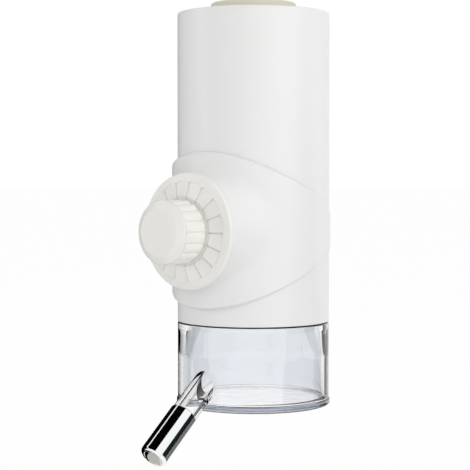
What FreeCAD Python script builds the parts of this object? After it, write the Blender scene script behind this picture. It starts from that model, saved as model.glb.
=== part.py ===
"""Pet water bottle that clamps to a cage: white tank, clear screw-on cup, ball nozzle and screw clamp.

The origin is the middle of the clamping face. The clamp points along -Y and the bottle stands along +Z.
"""
import FreeCAD, Part
import math
import os
import re

import Sketcher

Vector = FreeCAD.Vector

# Driving dimensions in millimetres and degrees
SIZES = {
    "White tank": {
        "tank_radius": 35.0,
        "tank_wall": 2.2,
        "tank_top_wall": 2.6,
        "tank_height": 141.5,
        "tank_rim_round": 1.0,
        "mouth_radius": 15.0,
        "mouth_wall": 2.0,
        "mouth_depth": 8.0,
        "mouth_lead": 0.6,
    },
    "Filler plug": {
        "plug_flange_radius": 19.7,
        "plug_flange_height": 4.6,
        "plug_flange_round": 1.3,
        "plug_length": 9.0,
        "plug_wall": 2.4,
        "plug_rib_height": 1.4,
        "plug_rib_depth": 0.7,
        "plug_rib_gap": 0.1,
        "plug_dish_depth": 0.8,
        "plug_dish_edge": 3.0,
    },
    "Clear cup": {
        "cup_height": 38.3,
        "cup_wall": 2.3,
        "cup_floor": 3.3,
        "cup_bead_proud": 0.5,
        "cup_bead_height": 3.0,
        "cup_foot_width": 4.0,
        "cup_foot_recess": 1.0,
        "cup_corner_round": 1.2,
        "neck_height": 9.0,
        "neck_wall": 2.0,
        "neck_gap": 0.3,
        "neck_shoulder": 2.6,
        "neck_taper": 12.0,
        "gasket_thick": 0.6,
        "gasket_inset": 0.6,
        "gasket_gap": 0.05,
    },
    "Saddle on the tank": {
        "saddle_swell": 1.5,
        "saddle_shift": 1.5,
        "saddle_margin": 8.6,
        "saddle_lift": 8.5,
        "saddle_tail": 26.0,
        "saddle_tail_half": 4.0,
        "saddle_edge_round": 0.7,
        "boss_radius": 25.2,
        "boss_stand": 8.4,
        "boss_draft": 10.0,
        "boss_blend": 5.0,
        "boss_blend_share": 0.62,
        "boss_root": 17.5,
        "boss_face_round": 1.0,
        "boss_wall": 2.4,
        "collar_wall": 1.6,
        "collar_height": 2.0,
    },
    "Clamp": {
        "stud_radius": 5.0,
        "stud_tip_gap": 0.6,
        "stud_tip_chamfer": 1.0,
        "head_width": 15.0,
        "head_thick": 2.5,
        "head_gap": 0.2,
        "face_gap": 0.3,
        "disc_radius": 25.9,
        "disc_rim_thick": 1.9,
        "disc_edge_round": 0.7,
        "disc_pad_width": 5.0,
        "disc_wall": 1.8,
        "disc_hollow_least": 0.3,
        "hub_radius": 15.2,
        "hub_height": 4.4,
        "hub_groove_inset": 0.3,
        "hub_groove_width": 1.9,
        "hub_groove_depth": 0.8,
        "bore_gap": 0.3,
        "ratchet_count": 17,
        "ratchet_inset": 0.6,
        "ratchet_margin": 3.4,
        "ratchet_step": 0.7,
        "ratchet_land": 1.5,
        "ratchet_phase": 16.6,
    },
    "Knob": {
        "knob_gap": 0.15,
        "knob_radius": 14.1,
        "skirt_length": 12.2,
        "skirt_foot_round": 0.8,
        "flute_groove_radius": 0.9,
        "flute_groove_depth": 0.6,
        "flute_phase": 4.0,
        "thread_gap": 0.08,
        "cap_length": 2.9,
        "cap_round": 2.5,
        "cap_round_share": 0.9,
        "cap_plug_radius": 9.0,
        "cap_plug_depth": 1.2,
    },
    "Nozzle": {
        "arm_height": 10.4,
        "arm_tilt": 39.8,
        "arm_radius": 5.9,
        "arm_length": 16.1,
        "arm_root": 3.0,
        "stub_gap": 0.3,
        "stub_length": 9.9,
        "water_bore_radius": 3.6,
        "seal_groove_inset": 3.0,
        "seal_thick": 0.7,
        "pipe_radius": 6.35,
        "pipe_wall": 0.8,
        "pipe_length": 25.9,
        "pipe_end_chamfer": 0.5,
        "lip_round": 1.8,
        "lip_radius": 4.0,
        "ball_radius": 5.1,
        "ball_gap": 0.1,
        "spring_wire": 0.35,
        "spring_inset": 1.7,
        "spring_turns": 4.5,
    },
}

doc = FreeCAD.newDocument("PetWaterBottle")
sheet = doc.addObject("Spreadsheet::Sheet", "Sizes")
row = 0
for group, entries in SIZES.items():
    row += 1
    sheet.set("A%d" % row, group)
    for alias, number in entries.items():
        row += 1
        sheet.set("A%d" % row, alias.replace("_", " "))
        sheet.set("B%d" % row, str(number))
        sheet.setAlias("B%d" % row, alias)
doc.recompute()

# Derived places, as expressions on the sheet
JOINT = "cup_height"
RIM = "(cup_height + tank_height)"
CUP_TOP = "(cup_height - gasket_thick - 2 * gasket_gap)"
NECK = "(tank_radius - tank_wall - neck_gap)"
REACH = "(tank_radius + boss_stand)"
SADDLE_HALF = "(boss_radius + saddle_margin)"
KNOB_LEVEL = "(cup_height + boss_radius + saddle_margin + saddle_lift)"
SADDLE_SLOPE = "((boss_radius + saddle_margin - saddle_tail_half) / (tank_radius + saddle_tail))"
HUB_FACE = "(face_gap + hub_height)"
KNOB_BACK = "(face_gap + hub_height + knob_gap)"
STUD_REACH = "(face_gap + hub_height + knob_gap + skirt_length - cap_plug_depth - stud_tip_gap)"
PIPE_END = "(arm_length + pipe_length)"
BALL_DEPTH = "(sqrt(ball_radius ^ 2 - lip_radius ^ 2) + ball_gap)"
BALL_PLACE = "(%s - %s)" % (PIPE_END, BALL_DEPTH)
BALL_SEAT = "(sqrt(ball_radius ^ 2 - (%s - pipe_wall) ^ 2) + ball_gap)" % BALL_DEPTH
SPRING_MEAN = "(pipe_radius - pipe_wall - spring_inset)"
SPRING_SEAT = "sqrt((ball_radius + spring_wire) ^ 2 - (pipe_radius - pipe_wall - spring_inset) ^ 2)"
SPRING_LENGTH = "(%s - %s - arm_length - stub_length - spring_wire)" % (BALL_PLACE, SPRING_SEAT)
CONE_SLOPE = "((hub_height - disc_rim_thick) / (disc_radius - hub_radius))"
PLUG_CORE = "(mouth_radius - plug_rib_gap - plug_rib_depth)"


def bind(text):
    """The expression with every size in it read from the sheet."""
    return re.sub(r"\b[a-z]+(?:_[a-z]+)+\b", lambda found: "Sizes." + found.group(), str(text))


def value(text):
    """The expression's number."""
    result = sheet.evalExpression(bind(text))
    return float(getattr(result, "Value", result))


def new_body(node, base=("0", "0", "0"), turn=0.0, spin=0.0):
    """An empty body at its place in the part's frame, spun about its own Z and turned about X."""
    body = doc.addObject("PartDesign::Body", "Body_" + node)
    body.Label = node
    rotation = FreeCAD.Rotation(Vector(1, 0, 0), turn) * FreeCAD.Rotation(Vector(0, 0, 1), spin)
    body.Placement = FreeCAD.Placement(Vector(0, 0, 0), rotation)
    for axis, text in zip("xyz", base):
        body.setExpression("Placement.Base." + axis, bind(text))
    return body


def bottle_body(node):
    """A body whose own Z is the bottle's axis, from the underside up."""
    return new_body(node, ("0", REACH, "-" + KNOB_LEVEL))


def clamp_body(node, spin=0.0):
    """A body whose own Z runs out of the clamping face along the knob's axis."""
    return new_body(node, turn=90.0, spin=spin)


def nozzle_body(node):
    """A body whose own Z runs down the nozzle, from where its axis meets the cup's outside."""
    height = "arm_height - " + KNOB_LEVEL
    return new_body(node, ("0", REACH + " - tank_radius", height), 90.0 + value("arm_tilt"))


def nozzle_place(distance):
    """The placement of a piece this far down the nozzle's axis."""
    turn = FreeCAD.Rotation(Vector(1, 0, 0), 90.0 + value("arm_tilt"))
    start = Vector(0, value(REACH + " - tank_radius"), value("arm_height - " + KNOB_LEVEL))
    return FreeCAD.Placement(start + turn.multVec(Vector(0, 0, distance)), turn)


def new_sketch(body, name, role="XZ_Plane", lift=None):
    """An empty sketch on one of the body's own planes, lifted off it when asked."""
    plane = next(item for item in body.Origin.OriginFeatures if item.Role == role)
    made = body.newObject("Sketcher::SketchObject", name)
    made.AttachmentSupport = [(plane, "")]
    made.MapMode = "FlatFace"
    if lift is not None:
        made.setExpression("AttachmentOffset.Base.z", bind(lift))
    return made


def hold(made, kind, geometry, point, text):
    """Ties one coordinate of a sketch point to the sheet, or lays the point on the axis."""
    if text == "0":
        axis = -2 if kind == "DistanceX" else -1
        made.addConstraint(Sketcher.Constraint("PointOnObject", geometry, point, axis))
        return
    index = made.addConstraint(Sketcher.Constraint(kind, -1, 1, geometry, point, value(text)))
    made.setExpression("Constraints[%d]" % index, bind(text))


def outline(made, corners):
    """A closed outline of straight lines through the corners."""
    first = made.GeometryCount
    places = [Vector(value(x), value(y), 0) for x, y in corners]
    count = len(places)
    for step in range(count):
        made.addGeometry(Part.LineSegment(places[step], places[(step + 1) % count]))
    for step in range(count):
        link = Sketcher.Constraint("Coincident", first + step, 2, first + (step + 1) % count, 1)
        made.addConstraint(link)
    for step, (x, y) in enumerate(corners):
        hold(made, "DistanceX", first + step, 1, x)
        hold(made, "DistanceY", first + step, 1, y)
    return made


def circle(made, x, y, radius):
    """A circle held by its centre and radius."""
    centre = Vector(value(x), value(y), 0)
    index = made.addGeometry(Part.Circle(centre, Vector(0, 0, 1), value(radius)))
    hold(made, "DistanceX", index, 3, x)
    hold(made, "DistanceY", index, 3, y)
    size = made.addConstraint(Sketcher.Constraint("Radius", index, value(radius)))
    made.setExpression("Constraints[%d]" % size, bind(radius))
    return made


def square(made, width):
    """A square of this width about the sketch's origin."""
    half = "(%s) / 2" % width
    low = "-(%s) / 2" % width
    return outline(made, [(low, low), (half, low), (half, half), (low, half)])


def turned(body, made, kind="Revolution", axis="V_Axis"):
    """The sketch turned full circle about one of its axes, as material or as a cut."""
    feature = body.newObject("PartDesign::" + kind, made.Name + kind)
    feature.Profile = made
    feature.ReferenceAxis = (made, [axis])
    feature.Angle = 360.0
    doc.recompute()
    return feature


def raised(body, made, length, kind="Pad", both=False, reverse=False):
    """The sketch as a pad or a pocket of this length."""
    feature = body.newObject("PartDesign::" + kind, made.Name + kind)
    feature.Profile = made
    feature.SideType = "Symmetric" if both else "One side"
    feature.Reversed = reverse
    feature.setExpression("Length", bind(length))
    doc.recompute()
    return feature


def edges_where(feature, test):
    """Names of the feature's edges that pass the test."""
    return ["Edge%d" % (number + 1) for number, edge in enumerate(feature.Shape.Edges) if test(edge)]


def ring_at(radius, height, direction="z"):
    """A test for a round edge of this radius at this height along the body's axis."""
    size, level = value(radius), value(height)

    def test(edge):
        curve = edge.Curve
        if not isinstance(curve, Part.Circle):
            return False
        return abs(curve.Radius - size) < 1e-3 and abs(getattr(curve.Center, direction) - level) < 1e-3
    return test


def eased(body, name, size, test, kind="Fillet"):
    """A fillet or chamfer on the edges that pass the test."""
    picked = edges_where(body.Tip, test)
    if not picked:
        raise RuntimeError("no edge found for " + name)
    base = body.Tip
    feature = body.newObject("PartDesign::" + kind, name)
    feature.Base = (base, picked)
    feature.setExpression("Radius" if kind == "Fillet" else "Size", bind(size))
    doc.recompute()
    return feature


def repeated(body, feature, count):
    """The feature copied evenly around the body's own Z."""
    pattern = body.newObject("PartDesign::PolarPattern", feature.Name + "Round")
    pattern.Originals = [feature]
    pattern.Axis = (next(item for item in body.Origin.OriginFeatures if item.Role == "Z_Axis"), [""])
    pattern.Angle = 360.0
    pattern.setExpression("Occurrences", bind(count))
    body.Tip = pattern
    doc.recompute()
    return pattern


def tank_shell():
    """The moulded white tank: a straight wall open below, and a top wall with the filler's mouth."""
    body = bottle_body("tank_shell")
    inner = "tank_radius - tank_wall"
    collar = "mouth_radius + mouth_wall"
    made = outline(new_sketch(body, "TankWall"), [
        ("tank_radius", JOINT),
        ("tank_radius", RIM),
        ("mouth_radius", RIM),
        ("mouth_radius", RIM + " - mouth_depth"),
        (collar, RIM + " - mouth_depth"),
        (collar, RIM + " - tank_top_wall"),
        (inner, RIM + " - tank_top_wall"),
        (inner, JOINT),
    ])
    turned(body, made)
    eased(body, "TankRimRound", "tank_rim_round", ring_at("tank_radius", RIM))
    eased(body, "MouthLead", "mouth_lead", ring_at("mouth_radius", RIM), "Chamfer")
    return body


def filler_plug():
    """The soft plug: a round flange that lies on the rim, and a hollow stem with two sealing ribs."""
    body = bottle_body("filler_plug")
    stem_end = RIM + " - plug_length"
    top = RIM + " + plug_flange_height"
    dish = "plug_flange_radius - plug_dish_edge"
    rib = PLUG_CORE + " + plug_rib_depth"
    under = "plug_flange_height - plug_wall"
    low_rib = stem_end + " + plug_rib_height"
    high_rib = stem_end + " + 3 * plug_rib_height"
    core = PLUG_CORE + " - plug_wall"
    made = outline(new_sketch(body, "PlugSection"), [
        ("0", top + " - plug_dish_depth"),
        (dish + " - plug_dish_depth", top + " - plug_dish_depth"),
        (dish, top),
        ("plug_flange_radius", top),
        ("plug_flange_radius", RIM),
        (PLUG_CORE, RIM),
        (PLUG_CORE, high_rib + " + plug_rib_height"),
        (rib, high_rib + " + plug_rib_height / 2"),
        (PLUG_CORE, high_rib),
        (PLUG_CORE, low_rib + " + plug_rib_height"),
        (rib, low_rib + " + plug_rib_height / 2"),
        (PLUG_CORE, low_rib),
        (PLUG_CORE, stem_end),
        (core, stem_end),
        (core, RIM + " + " + under + " - plug_dish_depth"),
        ("0", RIM + " + " + under + " - plug_dish_depth"),
    ])
    turned(body, made)
    eased(body, "PlugFlangeRound", "plug_flange_round", ring_at("plug_flange_radius", top))
    return body


def clear_cup():
    """The clear cup: floor, wall, threaded neck, and the slanted arm that carries the nozzle pipe."""
    body = bottle_body("cup_wall")
    inner = "tank_radius - cup_wall"
    neck_in = NECK + " - neck_wall"
    foot = "tank_radius - cup_foot_width"
    bead = "tank_radius + cup_bead_proud"
    made = outline(new_sketch(body, "CupWall"), [
        ("0", "cup_foot_recess"),
        (foot, "cup_foot_recess"),
        (foot, "0"),
        (bead, "0"),
        (bead, "cup_bead_height - cup_bead_proud"),
        ("tank_radius", "cup_bead_height"),
        ("tank_radius", CUP_TOP),
        (NECK, CUP_TOP),
        (NECK, JOINT + " + neck_height"),
        (neck_in, JOINT + " + neck_height"),
        (neck_in, CUP_TOP + " - neck_shoulder"),
        (inner, CUP_TOP + " - neck_shoulder - neck_taper"),
        (inner, "cup_floor"),
        ("0", "cup_floor"),
    ])
    turned(body, made)
    eased(body, "CupFootRound", "cup_bead_proud * 2", ring_at(bead, "0"))
    eased(body, "CupCornerRound", "cup_corner_round", ring_at(inner, "cup_floor"))

    arm = nozzle_body("cup_arm")
    stub = "pipe_radius - pipe_wall - stub_gap"
    groove = "arm_length + stub_length - seal_groove_inset"
    made = outline(new_sketch(arm, "ArmSection"), [
        ("0", "-arm_root"),
        ("arm_radius", "-arm_root"),
        ("arm_radius", "arm_length"),
        (stub, "arm_length"),
        (stub, groove + " - 2 * seal_thick"),
        (stub + " - seal_thick", groove + " - 2 * seal_thick"),
        (stub + " - seal_thick", groove),
        (stub, groove),
        (stub, "arm_length + stub_length"),
        ("0", "arm_length + stub_length"),
    ])
    turned(arm, made)

    bore = doc.addObject("Part::Cylinder", "WaterBore")
    bore.setExpression("Radius", bind("water_bore_radius"))
    bore.setExpression("Height", bind("arm_length + stub_length + 3 * arm_root"))
    place = arm.Placement
    start = place.multVec(Vector(0, 0, -2 * value("arm_root")))
    bore.Placement = FreeCAD.Placement(start, place.Rotation)

    hollow = doc.addObject("Part::Cylinder", "CupInside")
    hollow.setExpression("Radius", bind(inner))
    hollow.setExpression("Height", bind(JOINT + " - cup_floor"))
    for axis, text in zip("xyz", ("0", REACH, "cup_floor - " + KNOB_LEVEL)):
        hollow.setExpression("Placement.Base." + axis, bind(text))

    outer_arm = doc.addObject("Part::Cut", "ArmOutside")
    outer_arm.Base = arm
    outer_arm.Tool = hollow
    joined = doc.addObject("Part::Fuse", "CupWithArm")
    joined.Base = body
    joined.Tool = outer_arm
    cup = doc.addObject("Part::Cut", "ClearCup")
    cup.Base = joined
    cup.Tool = bore
    cup.Label = "clear_cup"
    doc.recompute()
    return cup


def cup_gasket():
    """The flat ring squeezed between the cup's shoulder and the tank's edge."""
    body = bottle_body("cup_gasket")
    made = new_sketch(body, "GasketFace", "XY_Plane", CUP_TOP + " + gasket_gap")
    circle(made, "0", "0", "tank_radius - gasket_inset")
    circle(made, "0", "0", NECK + " + gasket_gap")
    raised(body, made, "gasket_thick")
    return body


def mount_saddle():
    """The moulded saddle: a wedge that wraps the tank, flared into the round clamping boss."""
    body = new_body("mount_saddle", ("0", REACH, "0"))
    front = "(-(%s) - boss_stand)" % REACH
    back = "(tank_radius + saddle_swell + 2 * saddle_shift)"
    high = "(2 * %s)" % SADDLE_HALF
    front_half = "(%s + %s * (%s - tank_radius + boss_stand))" % (SADDLE_HALF, SADDLE_SLOPE, REACH)
    raised(body, circle(new_sketch(body, "SaddleDrum", "XY_Plane"), "0", "-saddle_shift",
                        "tank_radius + saddle_swell"), "3 * " + SADDLE_HALF, both=True)
    around = outline(new_sketch(body, "SaddleWedge", "YZ_Plane"), [
        (front, front_half),
        ("saddle_tail", "saddle_tail_half"),
        ("saddle_tail", "-saddle_tail_half"),
        (front, "-" + front_half),
        (front, "-" + high),
        (back, "-" + high),
        (back, high),
        (front, high),
    ])
    raised(body, around, "4 * tank_radius", "Pocket", both=True)

    slope, half, radius = value(SADDLE_SLOPE), value(SADDLE_HALF), value("tank_radius")

    def on_wedge(edge):
        """True for the curved edges where the wedge's sloping sides cut the drum."""
        for step in (0.25, 0.5, 0.75):
            at = edge.valueAt(edge.FirstParameter + step * (edge.LastParameter - edge.FirstParameter))
            if abs(abs(at.z) - (half - slope * (radius + at.y))) > 0.01:
                return False
        return True
    eased(body, "SaddleEdgeRound", "saddle_edge_round", on_wedge)

    flare = "(boss_stand * tan(boss_draft))"
    root = "(boss_radius + (%s - boss_root) * tan(boss_draft))" % REACH
    face = "-" + REACH
    turned(body, outline(new_sketch(body, "ClampBoss", "YZ_Plane"), [
        (face, "0"),
        (face, "boss_radius"),
        ("-boss_root", root),
        ("-boss_root", "0"),
    ]), axis="H_Axis")

    draft = math.tan(math.radians(value("boss_draft")))
    reach, boss, end = value(REACH), value("boss_radius"), value("boss_root")

    def on_boss_root(edge):
        """True for the edge where the flared boss runs into the wedge."""
        for step in (0.2, 0.5, 0.8):
            at = edge.valueAt(edge.FirstParameter + step * (edge.LastParameter - edge.FirstParameter))
            out = math.hypot(at.x, at.z)
            if at.y < -reach + 0.5 or abs(out - boss - draft * (reach + at.y)) > 0.01:
                return False
            if at.y > -end - 0.1 or isinstance(edge.Curve, Part.Line):
                return False
        return True
    eased(body, "BossBlend", "min(boss_blend; boss_blend_share * saddle_margin)", on_boss_root)
    eased(body, "BossFaceRound", "boss_face_round", ring_at("boss_radius", face, "y"))

    tank = circle(new_sketch(body, "TankSeat", "XY_Plane"), "0", "0", "tank_radius")
    raised(body, tank, "4 * " + SADDLE_HALF, "Pocket", both=True)
    inside = "-(%s - boss_wall)" % REACH
    core = "boss_radius - boss_wall"
    turned(body, outline(new_sketch(body, "BossHollow", "YZ_Plane"), [
        (inside, "0"),
        (inside, core),
        ("-boss_root", core + " + " + flare),
        ("-boss_root", "0"),
    ]), "Groove", "H_Axis")
    collar = new_sketch(body, "HeadCollar", "XZ_Plane", "%s - boss_wall - collar_height" % REACH)
    square(collar, "head_width + 2 * head_gap + 2 * collar_wall")
    square(collar, "head_width + 2 * head_gap")
    raised(body, collar, "collar_height")
    hole = circle(new_sketch(body, "StudHole", "XZ_Plane"), "0", "0", "stud_radius")
    raised(body, hole, REACH, "Pocket", reverse=True)
    return body


def clamp_stud():
    """The stud: a square head held behind the boss and a round shank with a pointed end."""
    body = clamp_body("clamp_stud")
    head = new_sketch(body, "StudHead", "XY_Plane", "-boss_wall - head_thick")
    raised(body, square(head, "head_width"), "head_thick")
    shank = circle(new_sketch(body, "StudShank", "XY_Plane", "-boss_wall"), "0", "0", "stud_radius")
    raised(body, shank, "boss_wall + " + STUD_REACH)
    eased(body, "StudTip", "stud_tip_chamfer", ring_at("stud_radius", STUD_REACH), "Chamfer")
    return body


def clamp_disc():
    """The clamping disc: a shallow cone with a ring of saw-tooth facets round its hub."""
    body = clamp_body("clamp_disc", -value("ratchet_phase"))
    rim_front = "face_gap + disc_rim_thick"
    bore = "stud_radius + bore_gap"
    pad_in = "disc_radius - disc_pad_width"
    hollow_rim = "disc_rim_thick - disc_wall + disc_pad_width * " + CONE_SLOPE
    hollow_hub = "hub_height - disc_wall"
    groove_out = "hub_radius - hub_groove_inset"
    made = outline(new_sketch(body, "DiscSection"), [
        (bore, "face_gap"),
        (bore, HUB_FACE),
        (groove_out + " - hub_groove_width", HUB_FACE),
        (groove_out + " - hub_groove_width", HUB_FACE + " - hub_groove_depth"),
        (groove_out, HUB_FACE + " - hub_groove_depth"),
        (groove_out, HUB_FACE),
        ("hub_radius", HUB_FACE),
        ("disc_radius", rim_front),
        ("disc_radius", "face_gap"),
        (pad_in, "face_gap"),
        (pad_in, "face_gap + max(%s; disc_hollow_least)" % hollow_rim),
        ("hub_radius", "face_gap + " + hollow_hub),
        (bore + " + disc_wall", "face_gap + " + hollow_hub),
        (bore + " + disc_wall", "face_gap"),
    ])
    turned(body, made)
    eased(body, "DiscEdgeRound", "disc_edge_round", ring_at("disc_radius", rim_front))

    span = math.radians(360.0 / value("ratchet_count"))
    sections = []
    for name, radius in (("Inner", "hub_radius + ratchet_inset"), ("Outer", "disc_radius - ratchet_margin")):
        middle = "(%s)" % radius
        half = "(%s * tan(180 / ratchet_count) - ratchet_land / 4)" % middle
        level = "(face_gap + hub_height - (%s - hub_radius) * %s)" % (middle, CONE_SLOPE)
        facet = new_sketch(body, "Facet" + name, "XZ_Plane", "-" + middle)
        outline(facet, [
            ("-" + half, level + " - ratchet_step"),
            (half, level),
            (half, level + " + ratchet_step"),
            ("-" + half, level + " + ratchet_step"),
        ])
        sections.append(facet)
    doc.recompute()
    cut = body.newObject("PartDesign::SubtractiveLoft", "Facet")
    cut.Profile = sections[0]
    cut.Sections = [sections[1]]
    cut.Ruled = True
    doc.recompute()
    repeated(body, cut, "ratchet_count")
    return body


def knob_body():
    """The knob's fluted skirt, with a blind threaded bore and a recess for its cap."""
    body = clamp_body("knob_body")
    front = KNOB_BACK + " + skirt_length"
    recess = front + " - cap_plug_depth"
    bore = "stud_radius + thread_gap"
    made = outline(new_sketch(body, "SkirtSection"), [
        (bore, KNOB_BACK),
        ("knob_radius", KNOB_BACK),
        ("knob_radius", front),
        ("cap_plug_radius", front),
        ("cap_plug_radius", recess),
        (bore, recess),
    ])
    turned(body, made)
    eased(body, "SkirtFootRound", "skirt_foot_round", ring_at("knob_radius", KNOB_BACK))
    groove = new_sketch(body, "FluteGroove", "XY_Plane", KNOB_BACK)
    out = "(knob_radius + flute_groove_radius - flute_groove_depth)"
    circle(groove, out + " * sin(flute_phase)", out + " * cos(flute_phase)", "flute_groove_radius")
    cut = raised(body, groove, "skirt_length", "Pocket", reverse=True)
    repeated(body, cut, "ratchet_count")
    return body


def knob_cap():
    """The smooth cap pressed into the front of the knob."""
    body = clamp_body("knob_cap")
    back = KNOB_BACK + " + skirt_length"
    front = back + " + cap_length"
    made = outline(new_sketch(body, "CapSection"), [
        ("0", back + " - cap_plug_depth"),
        ("cap_plug_radius", back + " - cap_plug_depth"),
        ("cap_plug_radius", back),
        ("knob_radius", back),
        ("knob_radius", front),
        ("0", front),
    ])
    turned(body, made)
    eased(body, "CapFrontRound", "min(cap_round; cap_round_share * cap_length)", ring_at("knob_radius", front))
    return body


def nozzle_pipe():
    """The steel pipe: square at the top and rolled in to a round lip at the bottom."""
    body = nozzle_body("nozzle_pipe")
    inner = "pipe_radius - pipe_wall"
    made = outline(new_sketch(body, "PipeSection"), [
        (inner, "arm_length"),
        ("pipe_radius", "arm_length"),
        ("pipe_radius", PIPE_END),
        ("lip_radius", PIPE_END),
        (BALL_SEAT, PIPE_END + " - pipe_wall"),
        (inner, PIPE_END + " - pipe_wall"),
    ])
    turned(body, made)
    eased(body, "LipOuterRound", "lip_round", ring_at("pipe_radius", PIPE_END))
    eased(body, "LipInnerRound", "lip_round - pipe_wall - ball_gap", ring_at(inner, PIPE_END + " - pipe_wall"))
    eased(body, "PipeEndChamfer", "pipe_end_chamfer", ring_at("pipe_radius", "arm_length"), "Chamfer")
    return body


def pipe_seal():
    """The rubber ring in the arm's groove, which seals the pipe."""
    seal = doc.addObject("Part::Torus", "PipeSeal")
    seal.Label = "pipe_seal"
    stub = "pipe_radius - pipe_wall - stub_gap"
    seal.setExpression("Radius1", bind(stub + " - seal_thick + (seal_thick + stub_gap) / 2"))
    seal.setExpression("Radius2", bind("(seal_thick + stub_gap) / 2"))
    seal.Placement = nozzle_place(value("arm_length + stub_length - seal_groove_inset - seal_thick"))
    doc.recompute()
    return seal


def valve_ball():
    """The steel ball that rests in the pipe's lip."""
    ball = doc.addObject("Part::Sphere", "ValveBall")
    ball.Label = "valve_ball"
    ball.setExpression("Radius", bind("ball_radius"))
    ball.Placement = nozzle_place(value(BALL_PLACE))
    doc.recompute()
    return ball


def valve_spring():
    """The light coil spring between the arm's end and the ball."""
    coil = doc.addObject("Part::Helix", "SpringCoil")
    coil.LocalCoord = "Right-handed"
    coil.setExpression("Height", bind(SPRING_LENGTH))
    coil.setExpression("Pitch", bind(SPRING_LENGTH + " / spring_turns"))
    coil.setExpression("Radius", bind(SPRING_MEAN))
    wire = doc.addObject("Part::RegularPolygon", "SpringWire")
    wire.Polygon = 6
    wire.setExpression("Circumradius", bind("spring_wire"))
    wire.Placement = FreeCAD.Placement(Vector(0, 0, 0), FreeCAD.Rotation(Vector(1, 0, 0), 90))
    wire.setExpression("Placement.Base.x", bind(SPRING_MEAN))
    spring = doc.addObject("Part::Sweep", "ValveSpring")
    spring.Label = "valve_spring"
    spring.Sections = [wire]
    spring.Spine = (coil, [])
    spring.Solid = True
    spring.Frenet = True
    spring.Placement = nozzle_place(value("arm_length + stub_length + spring_wire"))
    doc.recompute()
    return spring


parts = [
    tank_shell(),
    filler_plug(),
    clear_cup(),
    cup_gasket(),
    mount_saddle(),
    clamp_stud(),
    clamp_disc(),
    knob_body(),
    knob_cap(),
    nozzle_pipe(),
    pipe_seal(),
    valve_ball(),
    valve_spring(),
]
doc.recompute()

for item in doc.Objects:
    if "Invalid" in item.State or "Error" in item.State:
        raise RuntimeError("%s failed: %s" % (item.Name, item.State))
os.makedirs("parts", exist_ok=True)
for item in parts:
    shape = item.Shape
    if shape.isNull() or not shape.isValid() or not shape.Solids:
        raise RuntimeError("%s has no valid solid" % item.Label)
    print("%-14s %2d solids %9.1f mm3" % (item.Label, len(shape.Solids), shape.Volume))
for item in parts:
    item.Shape.exportStep("parts/%s.step" % item.Label)
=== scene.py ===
import math

import bmesh
import bpy
import numpy as np
from bpy.props import FloatProperty, IntProperty, PointerProperty, StringProperty
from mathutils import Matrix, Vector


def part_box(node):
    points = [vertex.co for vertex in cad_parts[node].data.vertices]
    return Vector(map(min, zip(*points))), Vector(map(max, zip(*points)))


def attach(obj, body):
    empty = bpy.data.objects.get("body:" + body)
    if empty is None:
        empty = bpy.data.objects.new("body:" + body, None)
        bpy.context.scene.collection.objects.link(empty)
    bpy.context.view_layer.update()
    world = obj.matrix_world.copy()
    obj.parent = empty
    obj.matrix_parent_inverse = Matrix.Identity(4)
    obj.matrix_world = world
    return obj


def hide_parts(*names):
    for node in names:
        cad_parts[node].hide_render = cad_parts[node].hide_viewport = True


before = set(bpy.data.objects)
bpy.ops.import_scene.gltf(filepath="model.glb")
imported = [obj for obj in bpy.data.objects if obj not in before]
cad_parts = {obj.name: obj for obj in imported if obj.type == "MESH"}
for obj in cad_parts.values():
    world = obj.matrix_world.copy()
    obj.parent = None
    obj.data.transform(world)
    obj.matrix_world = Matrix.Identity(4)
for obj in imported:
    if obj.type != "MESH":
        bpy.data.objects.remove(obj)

bl_info = {
    "name": "Pet Water Bottle",
    "version": (1, 0, 0),
    "blender": (4, 5, 0),
    "location": "View3D > Sidebar > Water Bottle",
    "description": "Dresses the CAD frame of a cage-mounted pet water bottle",
    "category": "Mesh",
}

MM = 0.001
FULL_TURN = 2 * math.pi

# Places read from the CAD frame, in metres
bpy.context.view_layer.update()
TANK_LOW, TANK_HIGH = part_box("tank_shell")
PLUG_LOW, PLUG_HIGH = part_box("filler_plug")
CUP_LOW, CUP_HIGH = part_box("clear_cup")
DISC_LOW, DISC_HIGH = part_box("clamp_disc")
KNOB_LOW, KNOB_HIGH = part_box("knob_body")
CAP_LOW, CAP_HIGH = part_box("knob_cap")
STUD_LOW, STUD_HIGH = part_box("clamp_stud")
PIPE_LOW, PIPE_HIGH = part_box("nozzle_pipe")
BALL_LOW, BALL_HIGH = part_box("valve_ball")
AXIS_Y = (TANK_LOW[1] + TANK_HIGH[1]) / 2
ON_AXIS = np.array((0, AXIS_Y, 0))
TANK_RADIUS = (TANK_HIGH[0] - TANK_LOW[0]) / 2

# Sizes that several pieces share: the stud's shank, and the ridge of the cup's thread
SHANK_RADIUS = 5.0 * MM
THREAD_HEIGHT = 0.22 * MM

# A profile's point this near to a radius lies on the wall there, and closer points are merged
SAME_PLACE = 0.01 * MM
MERGED = 0.0008 * MM

# Edges that turn by more than this, in degrees, stay crisp
CRISP = 32.0

# A Mix node's colour sockets: its two inputs and its result
COLOUR_A, COLOUR_B, COLOUR_OUT = 6, 7, 2

# The stage's floor, which the hanging bottle's pipe stays clear of, and its cards
FLOOR_LEVEL = PIPE_LOW[2] - 25 * MM
CARD_BLACK = "#050505"


def linear(code):
    """An sRGB hex colour as linear red, green and blue, with alpha 1."""
    channels = np.array([int(code[place:place + 2], 16) for place in (1, 3, 5)]) / 255
    bright = ((channels + 0.055) / 1.055) ** 2.4
    return (*np.where(channels <= 0.04045, channels / 12.92, bright).tolist(), 1.0)


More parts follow.
